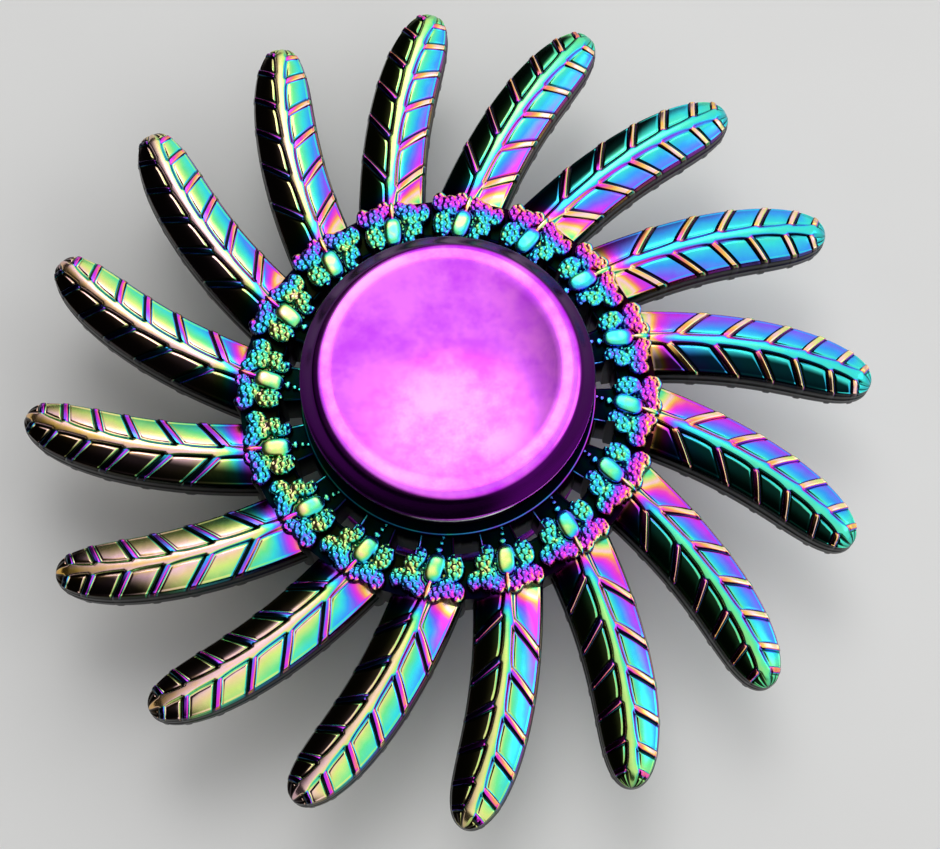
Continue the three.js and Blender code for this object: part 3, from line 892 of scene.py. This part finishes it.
# Fades between two radii in millimetres: inner radius, outer radius, value inside, value outside
FEATHER_FADE = (16.9, 17.4, 0.0, 1.0)
GAIN_FADE = (20, 34, 1.0, 0.42)
TIP_GAIN_FADE = (33.2, 34.3, 1.0, 0.3)
DRIFT_FADE = (14.5, 16.3, 0.08, 0.18)
RIB_FADE = (20, 32, 0.36, 0.6)
# Painted shade darkens the film on upright walls, in hollows and on faces that lean away; grime dims
# it at random. Each is a span of the input, and where it has four numbers, the values at its two ends.
LEVEL_SPAN = (0.12, 0.55, 0.1, 1.0)
HOLLOW_SPAN = (0.0, 0.5, 0.004, 1.0)
LEAN_SPAN = (-0.1, -0.01)
CREST_SPAN = (0.75, 0.95)
CREST_SPARED = 0.9
# how dark the painted shade on faces that lean away is: the hub's share, and the feathers' extra share
HUB_LEAN_SHADE = 0.35
FEATHER_LEAN_SHADE = 0.62
GRIME_SPAN = (0.3, 0.75, 1.0, 0.9)
ROUGHNESS_SPAN = (0.0, 0.6, 0.36, 0.19)


def fade(n, radius, span, smooth=True):
    """A value that changes between two radii, where radius is a share of the tips' radius."""
    inner, outer, first, last = span
    return n.spread(radius, inner / TIP_RADIUS, outer / TIP_RADIUS, first, last, smooth)


def ripple(n, phase, pattern, amount):
    """The phase with a noise pattern around 0.5 added to it."""
    return n.maths("ADD", phase, n.maths("MULTIPLY", n.maths("SUBTRACT", pattern, 0.5), amount))


def film_phase(n, facing, flat, radius):
    """The film's phase from radius, lean and ribs, and the lean, feather and rib values behind it."""
    stops = [(r / TIP_RADIUS, [p, p, p, 1]) for r, p in FILM_PHASE]
    phase = n.maths("ADD", n.ramp(radius, stops), 1.0)
    towards = (math.cos(FILM_AZIMUTH), math.sin(FILM_AZIMUTH), 0)
    lean = n.vector("DOT_PRODUCT", facing, towards)
    tilt = n.vector("LENGTH", n.vector("MULTIPLY", facing, (1, 1, 0)))
    feather = fade(n, radius, FEATHER_FADE)
    gain = n.maths("MULTIPLY", fade(n, radius, GAIN_FADE, False),
                   n.maths("MULTIPLY_ADD", feather, FILM_FEATHER_SHARE, 1 - FILM_FEATHER_SHARE))
    gain = n.maths("MULTIPLY", gain, fade(n, radius, TIP_GAIN_FADE))
    shift = n.maths("MULTIPLY_ADD", lean, FILM_LEAN_GAIN, n.maths("MULTIPLY", tilt, FILM_TILT_GAIN))
    phase = n.maths("MULTIPLY_ADD", shift, gain, phase)
    drift = n.vector("DOT_PRODUCT", n.vector("NORMALIZE", flat), towards)
    phase = n.maths("MULTIPLY_ADD", drift, fade(n, radius, DRIFT_FADE), phase)
    rib = n.put("ShaderNodeAttribute", {"attribute_name": "rib"}).outputs["Fac"]
    phase = n.maths("MULTIPLY_ADD", rib, fade(n, radius, RIB_FADE), phase)
    return phase, lean, feather, rib


def film_shade(n, at, facing, relief, lean, feather, rib):
    """How bright the film is, as painted shade: walls, hollows and faces that lean away are painted dark,
    but not the midrib's crest.
    """
    lit = n.spread(n.level(facing), *LEVEL_SPAN)
    hollow = n.spread(relief, *HOLLOW_SPAN)
    lean_away = n.maths("SUBTRACT", 1.0, n.spread(lean, *LEAN_SPAN))
    crest = n.maths("MULTIPLY", n.spread(relief, *CREST_SPAN), n.maths("SUBTRACT", 1.0, rib))
    lean_away = n.maths("MULTIPLY", lean_away, n.maths("MULTIPLY_ADD", crest, -CREST_SPARED, 1.0))
    # painted shade on faces that lean away from FILM_AZIMUTH, deeper on the feathers
    deep = n.maths("MULTIPLY_ADD", feather, FEATHER_LEAN_SHADE, HUB_LEAN_SHADE)
    painted_lean_shade = n.maths("SUBTRACT", 1.0, n.maths("MULTIPLY", lean_away, deep))
    grime = n.spread(n.noise(at, 700, 4.0), *GRIME_SPAN)
    return n.maths("MULTIPLY", n.maths("MULTIPLY", lit, hollow), n.maths("MULTIPLY", painted_lean_shade, grime))


def cast_skin(n, at):
    """The fine skin and scattered pits of a plated casting, as a bump of a tenth of a millimetre."""
    pits = n.put("ShaderNodeTexVoronoi", None, Vector=at, Scale=900.0).outputs["Distance"]
    pit = n.maths("MULTIPLY", n.spread(pits, 0.05, 0.22, 0.0, 1.0),
                  n.spread(n.noise(at, 230, 2.0), 0.52, 0.62, 0.0, 1.0))
    skin = n.maths("ADD", n.maths("MULTIPLY", n.noise(at, 900, 2.0), 0.6), n.maths("MULTIPLY", pit, 0.12))
    return n.bump(skin, 0.13, 0.1 * MM)


def rainbow_plating():
    """Interference colours that follow the radius, the lean of the surface and the ribs, darkened by
    painted shade.
    """
    made, n = material("rainbow_plating")
    place = n.put("ShaderNodeTexCoord")
    at, facing = place.outputs["Object"], place.outputs["Normal"]
    flat = n.vector("MULTIPLY", at, (1, 1, 0))
    radius = n.maths("DIVIDE", n.vector("LENGTH", flat), TIP_RADIUS * MM)
    phase, lean, feather, rib = film_phase(n, facing, flat, radius)
    patches = n.noise(at, 160, 2.0)
    # single grains differ in hue on the butterflies, and hardly at all on the feathers
    phase = ripple(n, phase, n.noise(at, 950, 1.0), n.maths("MULTIPLY_ADD", feather, -0.4, 0.45))
    fine = n.noise(at, 1500, 3.0)
    phase = ripple(n, phase, patches, 0.08)
    phase = ripple(n, phase, fine, 0.03)
    colour = n.ramp(n.maths("FRACT", phase), FILM)
    relief = n.put("ShaderNodeAttribute", {"attribute_name": "relief"}).outputs["Fac"]
    # painted shade: upright walls, hollows and faces that lean away are darkened in the colour
    shade = film_shade(n, at, facing, relief, lean, feather, rib)
    grey = n.put("ShaderNodeCombineColor", None, i0=shade, i1=shade, i2=shade).outputs[0]
    colour = n.mix(1.0, colour, grey, "MULTIPLY")
    roughness = n.maths("ADD", n.spread(relief, *ROUGHNESS_SPAN),
                        n.maths("MULTIPLY", n.noise(at, 420, 4.0), 0.06))
    n.metal(colour, roughness, cast_skin(n, at))
    return made


VIOLET_DEEP = srgb(204, 38, 246)
VIOLET_BRIGHT = srgb(240, 104, 250)
VIOLET_SLOPE_SHADE = srgb(68, 5, 86)
VIOLET_TURNING_PITCH = 0.11


def violet_mirror():
    """Violet plating on the caps: mirror-bright on the dish and rim; the band and flare are painted dark
    as shade.
    """
    made, n = material("violet_mirror")
    place = n.put("ShaderNodeTexCoord")
    at, facing = place.outputs["Object"], place.outputs["Normal"]
    cloud = n.noise(at, 110, 5.0, 0.6)
    mottle = n.noise(at, 260, 6.0, 0.65)
    bloom = n.maths("MULTIPLY_ADD", mottle, 0.5, n.maths("MULTIPLY", cloud, 0.5))
    colour = n.mix(n.spread(bloom, 0.38, 0.6), VIOLET_DEEP, VIOLET_BRIGHT)
    level = n.level(facing)
    # sloping faces are painted dark violet as shade
    colour = n.mix(n.spread(level, 0.74, 0.94), VIOLET_SLOPE_SHADE, colour)
    turning = n.vector("LENGTH", n.vector("MULTIPLY", at, (1, 1, 0)))
    rings = n.maths("SINE", n.maths("MULTIPLY", turning, 2 * math.pi / (VIOLET_TURNING_PITCH * MM)))
    scratch = n.noise(n.vector("MULTIPLY", at, (1, 9, 1)), 600, 3.0, 0.7)
    height = n.maths("ADD", n.maths("MULTIPLY", rings, 0.05), n.maths("MULTIPLY", scratch, 0.12))
    roughness = n.spread(cloud, 0.3, 0.7, 0.12, 0.2)
    coat = n.spread(level, 0.94, 0.985)
    n.metal(colour, roughness, n.bump(height, 0.08, 0.00005), Coat_Weight=coat, Coat_Roughness=0.22,
            Coat_IOR=1.6)
    return made


def steel(name, tint, low, high, pitch):
    """Ground or pressed steel: turning marks around the spin axis over fine mottling."""
    made, n = material(name)
    at = n.put("ShaderNodeTexCoord").outputs["Object"]
    turning = n.vector("LENGTH", n.vector("MULTIPLY", at, (1, 1, 0)))
    wander = n.maths("MULTIPLY_ADD", n.noise(at, 300, 2.0), 0.00005, turning)
    rings = n.maths("SINE", n.maths("MULTIPLY", wander, 2 * math.pi / (pitch * MM)))
    mottle = n.noise(at, 900, 4.0, 0.6)
    colour = n.mix(n.spread(mottle, 0.3, 0.7), srgb(*[c * 0.82 for c in tint]), srgb(*tint))
    roughness = n.spread(mottle, 0.25, 0.75, low, high)
    height = n.maths("ADD", n.maths("MULTIPLY", rings, 0.3), n.maths("MULTIPLY", mottle, 0.3))
    n.metal(colour, roughness, n.bump(height, 0.2, 0.00005))
    return made


# ---- Stage ----------------------------------------------------------------------------------------


FLOOR_HALF = 1500.0
SKY_AZIMUTH = math.radians(12)
SKY_ELEVATION = math.radians(35)
SKY_SPAN = (0.1, 0.46, 0.03, 1.05)
# Disc lights: name, place and size in metres, power in watts
SOFTBOXES = (
    ("softbox_back", (-0.01, 0.25, 0.49), 0.26, 0.36),
    ("softbox_right", (0.42, 0.0, 0.34), 0.3, 0.24),
)
# The camera turns about Z, X and Z. Its place is in millimetres along its own axes.
CAMERA_ROLL = math.radians(1.1)
CAMERA_TILT = math.radians(-15.9)
CAMERA_TURN = math.radians(1.3)
CAMERA_PLACE = (1.72, 0.85, 191.2)
CAMERA_LENS = 83.8


def make_floor():
    corners = [(x * FLOOR_HALF, y * FLOOR_HALF, 0) for x, y in ((-1, -1), (1, -1), (1, 1), (-1, 1))]
    floor = mesh_object("floor", corners, [(0, 1, 2, 3)])
    made = bpy.data.materials.new("floor_matt")
    made.use_nodes = True
    n = Nodes(made.node_tree)
    at = n.put("ShaderNodeTexCoord").outputs["Object"]
    colour = n.mix(n.noise(at, 25, 4.0), srgb(232, 231, 228), srgb(240, 239, 236))
    shader = n.put("ShaderNodeBsdfPrincipled", None, Base_Color=colour, Roughness=0.55)
    n.put("ShaderNodeOutputMaterial", None, Surface=shader.outputs[0])
    floor.data.materials.append(made)


def make_world():
    """Soft studio surroundings: bright above and to the right, falling off to the lower left."""
    world = bpy.data.worlds.new("studio")
    bpy.context.scene.world = world
    world.use_nodes = True
    n = Nodes(world.node_tree)
    way = n.put("ShaderNodeTexCoord").outputs["Generated"]
    level = math.cos(SKY_ELEVATION)
    towards = (math.cos(SKY_AZIMUTH) * level, math.sin(SKY_AZIMUTH) * level, math.sin(SKY_ELEVATION))
    share = n.vector("DOT_PRODUCT", way, towards)
    strength = n.spread(share, *SKY_SPAN)
    sky = n.put("ShaderNodeBackground", None, Color=(0.97, 0.98, 1.0, 1.0), Strength=strength)
    n.put("ShaderNodeOutputWorld", None, Surface=sky.outputs[0])


def make_light(name, place, size, energy, target=(0, 0, 0.01)):
    data = bpy.data.lights.new(name, "AREA")
    data.shape = "DISK"
    data.size = size
    data.energy = energy
    obj = bpy.data.objects.new(name, data)
    bpy.context.scene.collection.objects.link(obj)
    obj.location = place
    obj.rotation_mode = "QUATERNION"
    obj.rotation_quaternion = (Vector(target) - Vector(place)).to_track_quat("-Z", "Y")


def make_camera():
    """The camera looks almost straight down, tilted about 16 degrees towards the front."""
    turn = (Matrix.Rotation(CAMERA_ROLL, 3, "Z") @ Matrix.Rotation(CAMERA_TILT, 3, "X")
            @ Matrix.Rotation(CAMERA_TURN, 3, "Z"))
    back = turn.transposed()
    data = bpy.data.cameras.new("camera")
    data.sensor_width = 36
    data.lens = CAMERA_LENS
    data.clip_start = 0.01
    camera = bpy.data.objects.new("camera", data)
    bpy.context.scene.collection.objects.link(camera)
    camera.matrix_world = Matrix.Translation(back @ Vector(CAMERA_PLACE) * MM) @ back.to_4x4()
    bpy.context.scene.camera = camera


# ---- Build ----------------------------------------------------------------------------------------

make_camera()
make_floor()
make_world()
for softbox in SOFTBOXES:
    make_light(*softbox)

PLATING = rainbow_plating()
VIOLET = violet_mirror()
GROUND_STEEL = steel("ground_steel", (214, 216, 220), 0.12, 0.24, 0.09)
PRESSED_STEEL = steel("pressed_steel", (176, 178, 182), 0.26, 0.42, 0.2)

make_feathers(PLATING)
make_hub(PLATING)
make_caps(VIOLET)
make_races(GROUND_STEEL)
make_shields(PRESSED_STEEL)
make_stud(GROUND_STEEL)
make_balls(GROUND_STEEL)
for node in ("ball_cage_upper", "ball_cage_lower"):
    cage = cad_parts[node]
    cage.data.materials.clear()
    cage.data.materials.append(PRESSED_STEEL)

bpy.context.scene.view_settings.view_transform = "Standard"
